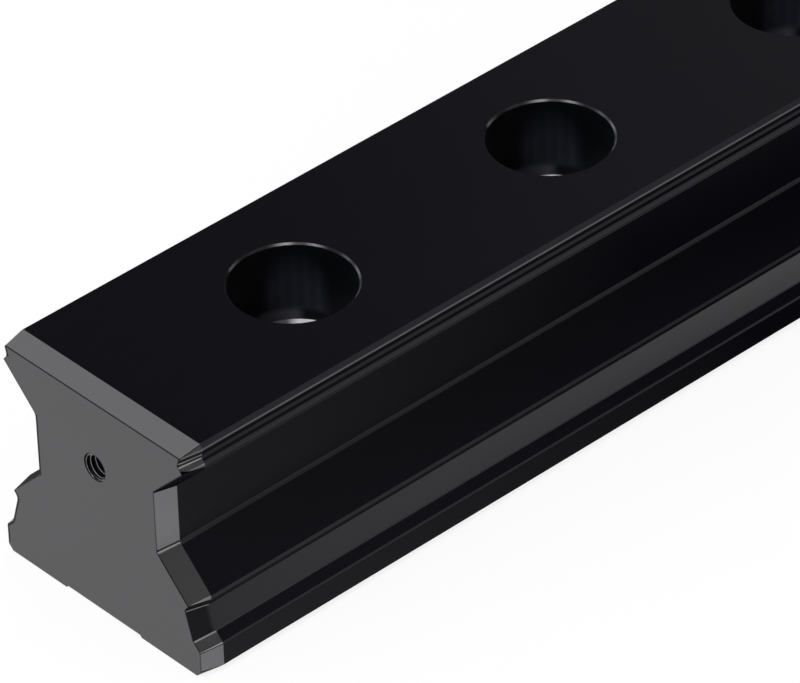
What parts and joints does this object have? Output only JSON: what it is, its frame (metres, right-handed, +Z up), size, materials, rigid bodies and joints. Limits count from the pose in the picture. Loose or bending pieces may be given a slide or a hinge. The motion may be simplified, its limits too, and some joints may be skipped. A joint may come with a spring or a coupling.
{
  "type": "roller guide rail",
  "caption": "Straight ground steel rail with a waisted section, four 45 degree raceways, counterbored fixing holes on top and bevelled ends.",
  "frame": {"origin": "middle of the base, at half the rail's length", "axes": "+Y along the rail, +X across it, +Z up through the fixing holes"},
  "size_m": [0.034, 0.5, 0.0303],
  "materials": {
    "coated_steel": "satin"
  },
  "bodies": {
    "root": {"guide_rail": "coated_steel"}
  },
  "joints": []
}
